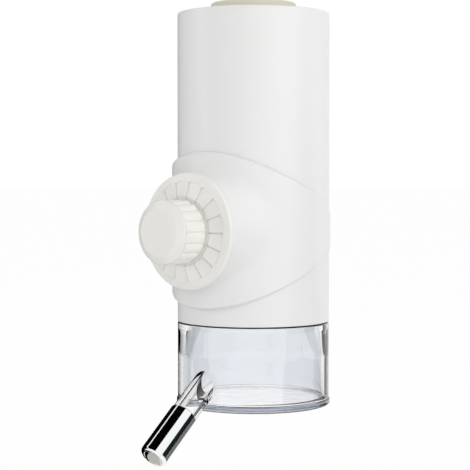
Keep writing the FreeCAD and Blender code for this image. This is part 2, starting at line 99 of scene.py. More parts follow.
def rounded(corners, steps=8):
    """A closed profile through corners (radius, height, fillet), each corner cut by its fillet's arc.

    With unit directions a and b to the two neighbours and half angle h between them, the arc's
    centre is corner + (a + b) / |a + b| * fillet / sin(h), and the arc turns evenly from the one
    tangent point to the other. A guard point beyond each end keeps the flat part's shading flat.
    """
    made = []
    places = np.array([corner[:2] for corner in corners])
    for number, (_, _, fillet) in enumerate(corners):
        here = places[number]
        if fillet == 0:
            made.append(here[None])
            continue
        back = places[number - 1] - here
        on = places[(number + 1) % len(corners)] - here
        back_room, on_room = np.hypot(*back), np.hypot(*on)
        back, on = back / back_room, on / on_room
        half = math.acos(np.clip(back @ on, -1, 1)) / 2
        reach = fillet / math.tan(half)
        middle = here + (back + on) / np.hypot(*(back + on)) * fillet / math.sin(half)
        start, end = here + back * reach - middle, here + on * reach - middle
        turn = math.pi - 2 * half
        t = np.linspace(0, 1, steps + 1)[:, None]
        arc = middle + (np.sin((1 - t) * turn) * start + np.sin(t * turn) * end) / math.sin(turn)
        guard = 0.35 * fillet
        before = here + back * min(reach + guard, back_room / 2)
        after = here + on * min(reach + guard, on_room / 2)
        made += [before[None], arc, after[None]]
    return np.concatenate(made)


def dense(profile, step):
    """The closed profile with points added on its long runs, so that none is longer than the step."""
    on = np.roll(profile, -1, 0)
    pieces = []
    for here, there in zip(profile, on):
        count = max(1, math.ceil(np.hypot(*(there - here)) / step))
        t = np.arange(count)[:, None] / count
        pieces.append(here + (there - here) * t)
    return np.concatenate(pieces)


def revolved(profile, angles):
    """The surface (r cos a, r sin a, h) over the profile's points (r, h) and the angles a."""
    r, h = profile.T
    return np.stack([
        np.outer(r, np.cos(angles)),
        np.outer(r, np.sin(angles)),
        np.repeat(h[:, None], len(angles), 1),
    ], axis=-1)


def middle_of(low, high):
    """The middle of a box."""
    return (np.array(low) + np.array(high)) / 2


def around(count):
    """Angles spread evenly round a full turn."""
    return np.linspace(0, FULL_TURN, count, endpoint=False)


def in_bottle(points):
    """From the bottle's own frame, with its axis as Z and the underside at 0, to the part's frame."""
    return points + np.array((0, AXIS_Y, bpy.context.scene.bottle_sizes.underside))


def in_clamp(points):
    """From the clamp's own frame, X right and Y up as seen by the cage and Z outward, to the part's."""
    return np.stack([points[..., 0], -points[..., 2], points[..., 1]], axis=-1)


def nozzle_way():
    """The direction down the nozzle's axis, away from the cup."""
    tilt = bpy.context.scene.nozzle_sizes.tilt
    return np.array((0, -math.cos(tilt), -math.sin(tilt)))


def in_nozzle(points):
    """From the nozzle's own frame, Z down its axis from the cup's wall, to the part's frame."""
    scene = bpy.context.scene
    down, side = nozzle_way(), np.array((1, 0, 0))
    up = np.cross(down, side)
    wall = np.array((0, TANK_LOW[1], scene.bottle_sizes.underside + scene.nozzle_sizes.height))
    return wall + points[..., :1] * side + points[..., 1:2] * up + points[..., 2:] * down


def linked(name, data):
    """A new object in the scene for this mesh, lamp or camera."""
    made = bpy.data.objects.new(name, data)
    bpy.context.collection.objects.link(made)
    return made


def skin(name, points, sharp=CRISP):
    """A closed mesh of quads over a grid of points that meets itself both ways.

    Rows that fall together, as at a pole, are merged, and the faces are turned outwards.
    Edges that turn by more than the sharp angle in degrees stay crisp.
    """
    rows, columns = points.shape[:2]
    index = np.arange(rows * columns).reshape(rows, columns)
    down, right = np.roll(index, -1, 0), np.roll(index, -1, 1)
    corner = np.roll(down, -1, 1)
    quads = np.stack([index, right, corner, down], axis=-1).reshape(-1, 4)
    mesh = bpy.data.meshes.new(name)
    mesh.from_pydata(points.reshape(-1, 3), [], quads)
    shell = bmesh.new()
    shell.from_mesh(mesh)
    bmesh.ops.remove_doubles(shell, verts=shell.verts, dist=MERGED)
    bmesh.ops.recalc_face_normals(shell, faces=shell.faces)
    shell.to_mesh(mesh)
    shell.free()
    mesh.shade_smooth()
    mesh.set_sharp_from_angle(angle=math.radians(sharp))
    return linked(name, mesh)


def eased(t):
    """The smooth step t^2 (3 - 2 t) of t held between 0 and 1."""
    t = np.clip(t, 0, 1)
    return t * t * (3 - 2 * t)


def cubic(t, start, first, second, end):
    """The cubic curve (1 - t)^3 start + 3 t (1 - t)^2 first + 3 t^2 (1 - t) second + t^3 end."""
    return ((1 - t) ** 3 * start + 3 * t * (1 - t) ** 2 * first
            + 3 * t * t * (1 - t) * second + t ** 3 * end)


def thread(angles, heights, pitch, start, end, shift=0.0):
    """Height of a single thread from 0 to 1: a ridge that climbs one pitch each turn.

    With p = height / pitch - angle / (2 pi) + shift, the ridge is the smooth step of
    (|cos(pi p)| - 0.55) / 0.35, and it fades in and out over half a pitch at its start and end.
    """
    p = heights / pitch - angles / FULL_TURN + shift
    fade_in = np.clip((heights - start) / (pitch / 2), 0, 1)
    fade_out = np.clip((end - heights) / (pitch / 2), 0, 1)
    return eased((np.abs(np.cos(math.pi * p)) - 0.55) / 0.35) * (fade_in * fade_out)


def fine_rows(profile, first, last, radius, heights):
    """The profile with its points from first up to last changed for rows at these heights."""
    rows = np.stack([np.full_like(heights, radius), heights], 1)
    return np.concatenate([profile[:first], rows, profile[last:]])


def threaded(profile, radius, start, end, height, shift=0.0):
    """The bottle's revolved profile, with a thread on its rows at the radius, cut in if height < 0.

    Each point's distance from the axis is scaled by 1 + height * ridge / radius.
    """
    sizes = bpy.context.scene.bottle_sizes
    angles = around(sizes.round_steps)
    wall = np.abs(profile[:, :1] - radius) < SAME_PLACE
    ridge = wall * thread(angles[None], profile[:, 1:], sizes.cup_pitch, start, end, shift)
    points = revolved(profile, angles)
    points[..., :2] *= (1 + height * ridge / radius)[..., None]
    return in_bottle(points)


def finished(made, body, slot, material, *nodes):
    """Gives the piece its material and the CAD body it rides on, and hides the CAD nodes that it stands
    for; the slot is not used.
    """
    made.data.materials.append(material)
    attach(made, body)
    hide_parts(*nodes)


def add_node(tree, kind, inputs=None, **settings):
    """Adds a shader node of this kind; an input is a value, a socket or a node's first output."""
    made = tree.nodes.new("ShaderNode" + kind)
    for setting, choice in settings.items():
        setattr(made, setting, choice)
    for socket, given in (inputs or {}).items():
        if isinstance(given, bpy.types.Node):
            given = given.outputs[0]
        if isinstance(given, bpy.types.NodeSocket):
            tree.links.new(given, made.inputs[socket])
        else:
            made.inputs[socket].default_value = given
    return made


def new_material(name):
    """An empty node material, and its tree."""
    material = bpy.data.materials.new(name)
    material.use_nodes = True
    material.node_tree.nodes.clear()
    return material, material.node_tree


def per_metre(size):
    """The Noise and Voronoi scale that gives features of this size in metres."""
    return 1 / size


def moulded_plastic(name, piece, roughness, ior, grain, grain_depth):
    """Injection-moulded plastic: an even colour with a faint cloud of shade and a fine tool texture."""
    colours = bpy.context.scene.bottle_colours
    colour, shade = getattr(colours, piece), getattr(colours, piece + "_shade")
    material, tree = new_material(name)
    place = add_node(tree, "TexCoord").outputs["Object"]
    cloud = add_node(tree, "TexNoise", {
        "Vector": place, "Scale": per_metre(28 * MM), "Detail": 3.0, "Roughness": 0.5})
    tint = add_node(tree, "Mix", {
        "Factor": cloud, COLOUR_A: linear(colour), COLOUR_B: linear(shade)}, data_type="RGBA")
    texture = add_node(tree, "TexNoise", {
        "Vector": place, "Scale": per_metre(grain), "Detail": 2.0, "Roughness": 0.6})
    gloss = add_node(tree, "MapRange", {
        "Value": cloud, "From Min": 0.0, "From Max": 1.0,
        "To Min": roughness - 0.03, "To Max": roughness + 0.03})
    relief = add_node(tree, "Bump", {
        "Height": texture, "Strength": 0.35, "Distance": grain_depth})
    surface = add_node(tree, "BsdfPrincipled", {
        "Base Color": tint.outputs[COLOUR_OUT], "Roughness": gloss, "IOR": ior,
        "Normal": relief})
    add_node(tree, "OutputMaterial", {"Surface": surface})
    return material


def moulded_abs():
    """White ABS from a polished tool: glossy, with a faint warm cloud."""
    return moulded_plastic("moulded_white_abs", "tank", 0.3, 1.54, 0.5 * MM, 0.004 * MM)


def moulded_nylon():
    """White glass-filled nylon from a spark-eroded tool: a soft satin with a fine grain."""
    return moulded_plastic("moulded_satin_nylon", "clamp", 0.28, 1.53, 0.35 * MM, 0.012 * MM)


def moulded_silicone():
    """Ivory silicone rubber from a matt tool: dull and slightly cloudy."""
    return moulded_plastic("moulded_ivory_silicone", "plug", 0.55, 1.41, 0.4 * MM, 0.015 * MM)


def nitrile_rubber():
    """Black nitrile seal rubber: nearly matt, with a fine moulded grain."""
    return moulded_plastic("moulded_nitrile_rubber", "rubber", 0.6, 1.52, 0.3 * MM, 0.01 * MM)


def clear_styrene():
    """Clear styrene acrylonitrile: glass-like and cool, with soft upright flow waves in the wall.

    The thick rim and the wall are tinted by zones of radius and height, on faces that look at the
    viewer: the rim's dark slate is painted shade, and the wall's grey-blue is the plastic's own cool
    tint deepened by painted shade. The wall's outside is painted dark where it is seen edge on, a
    painted reflection of dark surroundings.
    """
    colours = bpy.context.scene.bottle_colours
    material, tree = new_material("moulded_clear_styrene")
    place = add_node(tree, "TexCoord").outputs["Object"]
    stretch = add_node(tree, "Mapping", {"Vector": place, "Scale": (1.0, 1.0, 0.12)})
    wave = add_node(tree, "TexNoise", {"Vector": stretch, "Scale": per_metre(9 * MM), "Detail": 1.0})
    relief = add_node(tree, "Bump", {"Height": wave, "Strength": 0.25, "Distance": 0.15 * MM})
    level = add_node(tree, "SeparateXYZ", {"Vector": place})
    flat = add_node(tree, "Mapping", {"Vector": place, "Location": -ON_AXIS, "Scale": (1, 1, 0)})
    out = add_node(tree, "VectorMath", {0: flat}, operation="LENGTH")
    geometry = add_node(tree, "NewGeometry")
    toward = add_node(tree, "Math", {0: 1.0, 1: geometry.outputs["Backfacing"]}, operation="SUBTRACT")
    soft = 0.4 * MM
    foot = bpy.context.scene.bottle_sizes.underside
    rim_top = foot + 3.4 * MM

    def zone(near, far, low, high):
        """1 where the face looks at the viewer between two radii and two heights, with soft ends."""
        limits = (
            (out.outputs["Value"], near, near + soft), (out.outputs["Value"], far, far - soft),
            (level.outputs["Z"], low, low + soft), (level.outputs["Z"], high, high - soft))
        share = toward
        for value, start, end in limits:
            ramp = add_node(tree, "MapRange", {"Value": value, "From Min": start, "From Max": end})
            share = add_node(tree, "Math", {0: share, 1: ramp}, operation="MULTIPLY")
        return share

    # The thick rim painted a dark slate: painted shade standing in for the dark look of thick clear
    # plastic
    rim = add_node(tree, "Mix", {
        "Factor": zone(TANK_RADIUS - 0.8 * MM, TANK_RADIUS + 1.2 * MM, foot - 1 * MM, rim_top),
        COLOUR_A: linear(colours.cup_clear), COLOUR_B: linear(colours.cup_rim_painted_shade)}, data_type="RGBA")
    # The view through the wall painted grey-blue: the plastic's own cool tint, deepened as painted
    # shade
    tint = add_node(tree, "Mix", {
        "Factor": zone(TANK_RADIUS - 5 * MM, TANK_RADIUS - 1.2 * MM, rim_top, TANK_LOW[2] + 5 * MM),
        COLOUR_A: rim.outputs[COLOUR_OUT], COLOUR_B: linear(colours.cup)}, data_type="RGBA")

    # The painted dark edge, a painted reflection of dark surroundings: a wall that faces away from the
    # eye, on the outside only, and upright
    painted_edge_shade = add_node(tree, "MapRange", {
        "Value": add_node(tree, "LayerWeight").outputs["Facing"], "From Min": 0.72, "From Max": 0.95})
    beyond = add_node(tree, "MapRange", {
        "Value": out.outputs["Value"],
        "From Min": TANK_RADIUS - 0.8 * MM, "From Max": TANK_RADIUS - soft})
    side = add_node(tree, "SeparateXYZ", {"Vector": geometry.outputs["True Normal"]})
    steep = add_node(tree, "Math", {0: side.outputs["Z"]}, operation="ABSOLUTE")
    upright = add_node(tree, "Math", {0: 1.0, 1: steep}, operation="SUBTRACT")
    edge = painted_edge_shade
    for share in (beyond, upright):
        edge = add_node(tree, "Math", {0: edge, 1: share}, operation="MULTIPLY")
    tint = add_node(tree, "Mix", {
        "Factor": edge, COLOUR_A: tint.outputs[COLOUR_OUT], COLOUR_B: linear(colours.cup_edge_painted_shade)},
        data_type="RGBA")
    surface = add_node(tree, "BsdfPrincipled", {
        "Base Color": tint.outputs[COLOUR_OUT], "Roughness": 0.02, "IOR": 1.52,
        "Transmission Weight": 1.0, "Normal": relief})
    add_node(tree, "OutputMaterial", {"Surface": surface})
    return material


def steel(name, piece, roughness, scratch, stretch):
    """Steel with fine marks: noise stretched along the way that the tool ran."""
    colour = getattr(bpy.context.scene.bottle_colours, piece)
    material, tree = new_material(name)
    place = add_node(tree, "TexCoord").outputs["Object"]
    lines = add_node(tree, "Mapping", {"Vector": place, "Scale": stretch})
    marks = add_node(tree, "TexNoise", {
        "Vector": lines, "Scale": per_metre(scratch), "Detail": 3.0})
    gloss = add_node(tree, "MapRange", {
        "Value": marks, "From Min": 0.3, "From Max": 0.7,
        "To Min": roughness * 0.7, "To Max": roughness * 1.5})
    surface = add_node(tree, "BsdfPrincipled", {
        "Base Color": linear(colour), "Metallic": 1.0, "Roughness": gloss})
    add_node(tree, "OutputMaterial", {"Surface": surface})
    return material


def polished_steel():
    """Drawn and polished stainless tube: mirror-like, with faint marks along it."""
    return steel("polished_stainless_steel", "steel", 0.05, 0.4 * MM, (1.0, 0.2, 0.2))


def ground_steel():
    """Ground bearing steel: a near-perfect mirror with a faint haze."""
    return steel("ground_bearing_steel", "ball", 0.04, 0.8 * MM, (1.0, 1.0, 1.0))


def plated_steel():
    """Bright zinc-plated steel: silvery and a little rough, with marks across the thread."""
    return steel("zinc_plated_steel", "stud", 0.22, 0.3 * MM, (0.3, 3.0, 0.3))


def length_setting(name, description, size, **limits):
    """A length in metres that the user can change."""
    return FloatProperty(name=name, description=description, default=size, unit="LENGTH", **limits)


def angle_setting(name, description, degrees):
    """An angle that the user can change, with its default in degrees."""
    return FloatProperty(name=name, description=description, default=math.radians(degrees),
                         subtype="ANGLE", unit="ROTATION")


def colour_setting(name, description, code):
    """A colour, as sRGB hex, that the user can change."""
    return StringProperty(name=name, description=description, default=code)


class BottleSizes(bpy.types.PropertyGroup):
    """Sizes of the tank, the plug and the cup."""
    underside: length_setting("Underside", "Height of the cup's underside", TANK_LOW[2] - 38.3 * MM)
    rim_round: length_setting("Rim Round", "Rounding of the tank's top rim", 1.0 * MM, min=0.2 * MM)
    tank_wall: length_setting("Tank Wall", "Thickness of the tank's wall", 2.2 * MM, min=1.0 * MM)
    mouth_radius: length_setting("Mouth Radius", "Radius of the filler's mouth", 15.0 * MM)
    cup_wall: length_setting(
        "Cup Wall", "Thickness of the clear cup's wall", 2.3 * MM, min=1.0 * MM)
    cup_floor: length_setting("Cup Floor", "Height of the cup's floor inside", 3.3 * MM)
    neck_height: length_setting(
        "Neck Height", "How far the cup's neck reaches into the tank", 9.0 * MM)
    cup_pitch: length_setting("Cup Pitch", "Rise of the cup's thread in one turn", 4.0 * MM)
    round_steps: IntProperty(
        name="Round Steps", description="Faces round the bottle", default=256, min=48)


class ClampSizes(bpy.types.PropertyGroup):
    """Sizes of the disc, the knob and the stud."""
    teeth: IntProperty(
        name="Teeth", description="Facets round the disc and flutes round the knob",
        default=17, min=6)
    tooth_turn: angle_setting(
        "Tooth Turn", "Angle of the first step of the disc from the top, clockwise", 6.0)
    flute_turn: angle_setting(
        "Flute Turn", "Angle of the knob's first groove from the top, clockwise", 4.0)
    hub_radius: length_setting("Hub Radius", "Radius of the disc's flat hub", 15.2 * MM)
    groove_sink: length_setting(
        "Groove Sink", "Depth of the groove round the knob's foot", 0.8 * MM)
    facet_radius: length_setting("Facet Radius", "Radius at which the facets end", 22.5 * MM)
    facet_depth: length_setting("Facet Depth", "Depth of each facet at its step", 0.5 * MM)
    line_depth: length_setting("Line Depth", "Depth of the fine groove along each step", 0.9 * MM)
    rim_thick: length_setting("Rim Thickness", "Thickness of the disc at its rim", 1.9 * MM)
    groove_depth: length_setting(
        "Groove Depth", "Depth of the grooves between the knob's flutes", 0.95 * MM)
    cap_round: length_setting(
        "Cap Round", "Width of the sloping shoulder round the knob's front", 3.6 * MM)
    cap_drop: length_setting("Cap Drop", "How far the knob's front edge falls away", 2.1 * MM)
    thread_pitch: length_setting("Thread Pitch", "Rise of the stud's thread in one turn", 2.5 * MM)


class SaddleSizes(bpy.types.PropertyGroup):
    """Sizes of the saddle that wraps the tank and flares into the clamping boss."""
    drum_radius: length_setting("Drum Radius", "Radius of the saddle's outer face", 36.5 * MM)
    drum_shift: length_setting(
        "Drum Shift", "How far the outer face's axis lies towards the clamp", 1.5 * MM)
    front_half: length_setting(
        "Front Half Height", "Half the wedge's height at the tank's front", 33.8 * MM)
    tail_half: length_setting("Tail Half Height", "Half the wedge's height at its tail", 4.0 * MM)
    tail_reach: length_setting(
        "Tail Reach", "How far behind the bottle's axis the wedge ends", 26.0 * MM)
    edge_slant: FloatProperty(
        name="Edge Slant", description="How far the wedge's edge leans in, as a share of its height",
        default=0.45)
    parting: length_setting("Parting", "Gap between the wedge's edge and the tank", 0.3 * MM)
    boss_radius: length_setting("Boss Radius", "Radius of the boss's flat face", 25.2 * MM)
    boss_draft: angle_setting("Boss Draft", "Slope of the boss's side", 10.0)
    flare_radius: length_setting(
        "Flare Radius", "Radius at which the boss's flare meets the wedge", 32.6 * MM)
    boss_wall: length_setting("Boss Wall", "Thickness of the boss's walls", 2.4 * MM)


class NozzleSizes(bpy.types.PropertyGroup):
    """Sizes of the arm, the pipe and the ball."""
    tilt: angle_setting("Tilt", "Angle of the nozzle below the level", 39.8)
    height: length_setting("Height", "Height at which the nozzle's axis leaves the cup", 10.4 * MM)
    arm_radius: length_setting("Arm Radius", "Radius of the clear arm", 5.9 * MM)
    arm_length: length_setting("Arm Length", "From the cup's wall to the pipe", 16.1 * MM)
    stub_length: length_setting("Stub Length", "How far the arm reaches into the pipe", 9.9 * MM)
    bore_radius: length_setting(
        "Bore Radius", "Radius of the water's way through the arm", 3.6 * MM)
    pipe_radius: length_setting("Pipe Radius", "Outer radius of the steel pipe", 6.35 * MM)
    pipe_wall: length_setting("Pipe Wall", "Thickness of the steel", 0.8 * MM)
    pipe_length: length_setting("Pipe Length", "Length of the steel pipe", 25.9 * MM)
    lip_round: length_setting("Lip Round", "Rounding of the pipe's rolled lip", 1.8 * MM)
    lip_radius: length_setting("Lip Radius", "Radius of the hole in the lip", 4.0 * MM)


class StageSettings(bpy.types.PropertyGroup):
    """Where the camera stands."""
    azimuth: angle_setting(
        "Azimuth", "Angle of the view round the bottle, 0 in front of the clamp", 41.0)
    distance: length_setting("Distance", "From the camera to the bottle's axis", 666.7 * MM)
    aside: length_setting(
        "Aside", "How far the bottle's axis lies to the right of the view's middle", 8.5 * MM)
    height: length_setting("Height", "Height of the camera over the knob's axis", 22.7 * MM)
    tilt: angle_setting("Tilt", "How far the camera looks down", 2.19)


class BottleColours(bpy.types.PropertyGroup):
    """Colours of the materials, as sRGB hex."""
    tank: colour_setting("Tank", "White of the tank", "#EEEEEE")
    tank_shade: colour_setting("Tank Shade", "Cloud in the tank", "#EDEDEC")
    clamp: colour_setting("Clamp", "White of the clamp", "#F3F2EE")
    clamp_shade: colour_setting("Clamp Shade", "Cloud in the clamp", "#F1F0EB")
    plug: colour_setting("Plug", "Ivory of the plug", "#DEDAC8")
    plug_shade: colour_setting("Plug Shade", "Cloud in the plug", "#DAD6C4")
    rubber: colour_setting("Rubber", "Black of the seals", "#1B1B1D")
    rubber_shade: colour_setting("Rubber Shade", "Cloud in the seals", "#232326")
    # Cup: the plastic's own cool tint, deepened as painted shade on the view through the wall
    cup: colour_setting("Cup", "Tint gathered in the cup's wall", "#D0D7E2")
    cup_clear: colour_setting("Clear", "Colour of thin clear plastic", "#FFFFFF")
    # Cup Rim: painted shade, the dark look of the thick rim
    cup_rim_painted_shade: colour_setting("Cup Rim", "Tint of the cup's thick rim", "#7B8698")
    # Edge: a painted dark reflection where the clear wall is seen edge on
    cup_edge_painted_shade: colour_setting("Edge", "Dark of the clear wall seen edge on", "#1E2732")
    steel: colour_setting("Steel", "Polished stainless steel", "#F6F6F7")
    ball: colour_setting("Ball", "Ground bearing steel", "#B4B3AC")
    stud: colour_setting("Stud", "Zinc-plated steel", "#C9CBD0")


class BOTTLE_OT_tank(bpy.types.Operator):
    """Builds the moulded tank with its rounded rim, filler's mouth and inner thread"""
    bl_idname = "bottle.build_tank"
    bl_label = "Build Tank"

    def execute(self, context):
        sizes = context.scene.bottle_sizes
        foot, rim = TANK_LOW[2] - sizes.underside, TANK_HIGH[2] - sizes.underside
        inner = TANK_RADIUS - sizes.tank_wall
        ceiling = rim - 2.6 * MM
        collar, collar_end = sizes.mouth_radius + 2 * MM, rim - 8 * MM
        profile = dense(rounded([
            (TANK_RADIUS, foot, 0.3 * MM),
            (TANK_RADIUS, rim, sizes.rim_round),
            (sizes.mouth_radius, rim, 0.5 * MM),
            (sizes.mouth_radius, collar_end, 0.3 * MM),
            (collar, collar_end, 0.3 * MM),
            (collar, ceiling, 0.6 * MM),
            (inner, ceiling, 1.5 * MM),
            (inner, foot, 0.3 * MM),
        ]), 4 * MM)
        low = np.flatnonzero(
            (np.abs(profile[:, 0] - inner) < SAME_PLACE) & (profile[:, 1] < foot + 12 * MM))
        if not len(low):
            raise RuntimeError("the tank's profile has no inner wall")
        heights = np.linspace(foot + 11 * MM, foot + 0.5 * MM, 70)
        profile = fine_rows(profile, low[0], low[-1] + 1, inner, heights)
        points = threaded(profile, inner, foot + 1 * MM, foot + 9 * MM, -THREAD_HEIGHT, 0.5)
        tank = skin("tank", points)
        finished(tank, "bottle", "white_gloss", moulded_abs(), "tank_shell")
        return {"FINISHED"}


class BOTTLE_OT_plug(bpy.types.Operator):
    """Builds the ivory filler plug with its dished top and two sealing ribs"""
    bl_idname = "bottle.build_plug"
    bl_label = "Build Filler Plug"

    def execute(self, context):
        sizes = context.scene.bottle_sizes
        rim, top = TANK_HIGH[2] - sizes.underside, PLUG_HIGH[2] - sizes.underside
        end = PLUG_LOW[2] - sizes.underside
        radius = (PLUG_HIGH[0] - PLUG_LOW[0]) / 2
        core, rib = sizes.mouth_radius - 0.8 * MM, sizes.mouth_radius - 0.1 * MM
        dish = radius - 3 * MM
        profile = rounded([
            (0, top - 0.8 * MM, 0),
            (dish - 0.8 * MM, top - 0.8 * MM, 0.6 * MM),
            (dish, top, 0.4 * MM),
            (radius, top, 1.3 * MM),
            (radius, rim, 0.3 * MM),
            (core, rim, 0.2 * MM),
            (core, end + 5.6 * MM, 0.2 * MM),
            (rib, end + 4.9 * MM, 0.3 * MM),
            (core, end + 4.2 * MM, 0.2 * MM),
            (core, end + 2.8 * MM, 0.2 * MM),
            (rib, end + 2.1 * MM, 0.3 * MM),
            (core, end + 1.4 * MM, 0.2 * MM),
            (core, end, 0.4 * MM),
            (core - 2.4 * MM, end, 0.4 * MM),
            (core - 2.4 * MM, rim + 1.4 * MM, 0.8 * MM),
            (0, rim + 1.4 * MM, 0),
        ])
        plug = skin("plug", in_bottle(revolved(profile, around(160))))
        finished(plug, "plug", "plug_silicone", moulded_silicone(), "filler_plug")
        return {"FINISHED"}


def cup_shell(sizes):
    """The cup's wall, floor and threaded neck, revolved about the bottle's axis."""
    top = CUP_HIGH[2] - sizes.underside
    joint = top - sizes.neck_height
    shoulder = joint - 0.7 * MM
    neck = TANK_RADIUS - sizes.tank_wall - 0.3 * MM
    mouth = neck - 2 * MM
    inner = TANK_RADIUS - sizes.cup_wall
    foot, foot_sink = TANK_RADIUS - 4 * MM, 1.0 * MM
    bead = TANK_RADIUS + 0.5 * MM
    profile = rounded([
        (0, foot_sink, 0),
        (foot, foot_sink, 0.4 * MM),
        (foot, 0, 0.4 * MM),
        (bead, 0, 0.9 * MM),
        (bead, 2.5 * MM, 0.3 * MM),
        (TANK_RADIUS, 3.0 * MM, 0.3 * MM),
        (TANK_RADIUS, shoulder, 0.25 * MM),
        (neck, shoulder, 0.1 * MM),
        (neck, top, 0.5 * MM),
        (mouth, top, 0.5 * MM),
        (mouth, shoulder - 2.6 * MM, 6 * MM),
        (inner, shoulder - 14.6 * MM, 12 * MM),
        (inner, sizes.cup_floor, 1.2 * MM),
        (0, sizes.cup_floor, 0),
    ])
    thread_top = top - 0.8 * MM
    heights = np.linspace(joint + 0.4 * MM, thread_top, 60)
    place = np.flatnonzero(profile[:, 1] >= thread_top)[0]
    profile = fine_rows(profile, place, place, neck, heights)
    return threaded(profile, neck, joint + 1 * MM, top - 0.9 * MM, THREAD_HEIGHT)


def arm_solid(sizes, bottle):
    """The slanted arm: revolved about the nozzle's axis, its root curved to lie within the cup's wall.

    Each line along the arm starts where it meets the cylinder in the middle of the wall, so with
    u = r sin(a), v = r cos(a) the start s solves (v sin(t) - s cos(t) - R)^2 + u^2 = M^2, where t is
    the tilt, R the wall's outer radius and M the radius in the middle of the wall.
    """
    middle = TANK_RADIUS - bottle.cup_wall / 2
    stub = sizes.pipe_radius - sizes.pipe_wall - 0.3 * MM
    end = sizes.arm_length + sizes.stub_length
    groove = end - 3 * MM
    groove_start, groove_floor = groove - 1.4 * MM, stub - 0.7 * MM
    profile = rounded([
        (0, 0, 0),
        (sizes.arm_radius, 0, 0),
        (sizes.arm_radius, sizes.arm_length, 0.3 * MM),
        (stub, sizes.arm_length, 0),
        (stub, groove_start, 0.1 * MM),
        (groove_floor, groove_start, 0.1 * MM),
        (groove_floor, groove, 0.1 * MM),
        (stub, groove, 0.1 * MM),
        (stub, end, 0.3 * MM),
        (0, end, 0),
    ])
    rings = np.linspace(0, sizes.arm_radius, 12, endpoint=False)
    root = np.stack([rings, np.zeros_like(rings)], 1)
    profile = np.concatenate([root, profile[1:]])
    points = revolved(profile, around(96))
    across, lift = points[..., 0], points[..., 1]
    level, drop = math.cos(sizes.tilt), math.sin(sizes.tilt)
    reach = np.sqrt(middle ** 2 - across ** 2)
    start = (reach - TANK_RADIUS - lift * drop) / level
    rooted = np.arange(len(profile))[:, None] <= len(root)
    points[..., 2] = np.where(rooted, start, points[..., 2])
    return in_nozzle(points)


def bore_solid(sizes):
    """The water's way through the arm: a plain rod from inside the cup to beyond the stub."""
    radius = sizes.bore_radius
    start, end = -7 * MM, sizes.arm_length + sizes.stub_length + 2 * MM
    profile = np.array([(0, start), (radius, start), (radius, end), (0, end)])
    return in_nozzle(revolved(profile, around(64)))


def carve(made, tool, operation):
    """Joins the tool to the piece or cuts it away, and removes the tool."""
    change = made.modifiers.new(operation.title(), "BOOLEAN")
    change.operation = operation
    change.object = tool
    change.solver = "EXACT"
    bpy.context.view_layer.update()
    result = bpy.data.meshes.new_from_object(made.evaluated_get(bpy.context.evaluated_depsgraph_get()))
    made.modifiers.clear()
    old = made.data
    made.data = result
    result.name = made.name
    bpy.data.meshes.remove(old)
    bpy.data.objects.remove(tool)


class BOTTLE_OT_cup(bpy.types.Operator):
    """Builds the clear cup with its threaded neck, and the arm that carries the nozzle pipe"""
    bl_idname = "bottle.build_cup"
    bl_label = "Build Clear Cup"

    def execute(self, context):
        sizes, nozzle = context.scene.bottle_sizes, context.scene.nozzle_sizes
        cup = skin("cup", cup_shell(sizes))
        carve(cup, skin("arm_root", arm_solid(nozzle, sizes)), "UNION")
        carve(cup, skin("water_bore", bore_solid(nozzle)), "DIFFERENCE")
        if len(cup.data.polygons) < 1000:
            raise RuntimeError("the cup and its arm didn't join")
        cup.data.shade_smooth()
        cup.data.set_sharp_from_angle(angle=math.radians(CRISP))
        finished(cup, "cup", "clear_plastic", clear_styrene(), "clear_cup")
        return {"FINISHED"}


class BOTTLE_OT_nozzle(bpy.types.Operator):
    """Builds the steel pipe with its rolled lip, and the ball that rests in it"""
    bl_idname = "bottle.build_nozzle"
    bl_label = "Build Nozzle"

    def execute(self, context):
        sizes = context.scene.nozzle_sizes
        start, end = sizes.arm_length, sizes.arm_length + sizes.pipe_length
        inner, lip_back = sizes.pipe_radius - sizes.pipe_wall, end - sizes.pipe_wall
        profile = dense(rounded([
            (inner, start, 0.15 * MM),
            (sizes.pipe_radius, start, 0.35 * MM),
            (sizes.pipe_radius, end, sizes.lip_round),
            (sizes.lip_radius, end, 0.3 * MM),
            (sizes.lip_radius, lip_back, 0.2 * MM),
            (inner, lip_back, 1.0 * MM),
        ], 12), 2 * MM)
        pipe = skin("nozzle_tube", in_nozzle(revolved(profile, around(128))), 50.0)
        finished(pipe, "cup", "polished_steel", polished_steel(), "nozzle_pipe")

        radius = (BALL_HIGH[0] - BALL_LOW[0]) / 2
        latitude = np.linspace(-math.pi / 2, math.pi / 2, 49)
        half = np.stack([radius * np.cos(latitude), radius * np.sin(latitude)], 1)
        half[[0, -1], 0] = 0
        ball = skin("ball", revolved(half, around(96)) + middle_of(BALL_LOW, BALL_HIGH), 60.0)
        finished(ball, "ball", "polished_steel", ground_steel(), "valve_ball")
        return {"FINISHED"}


def tooth_angles(count, places, first):
    """Angles clockwise from the top, with the same places, from 0 to 1, in each of the teeth."""
    teeth = np.arange(count)[:, None]
    return (first + FULL_TURN * (teeth + places) / count).ravel()


def turned_points(rho, clockwise, out):
    """Points at this radius, angle clockwise from the top and height out of the clamping face."""
    rho, clockwise, out = np.broadcast_arrays(rho, clockwise, out)
    return np.stack([rho * np.sin(clockwise), rho * np.cos(clockwise), out], axis=-1)


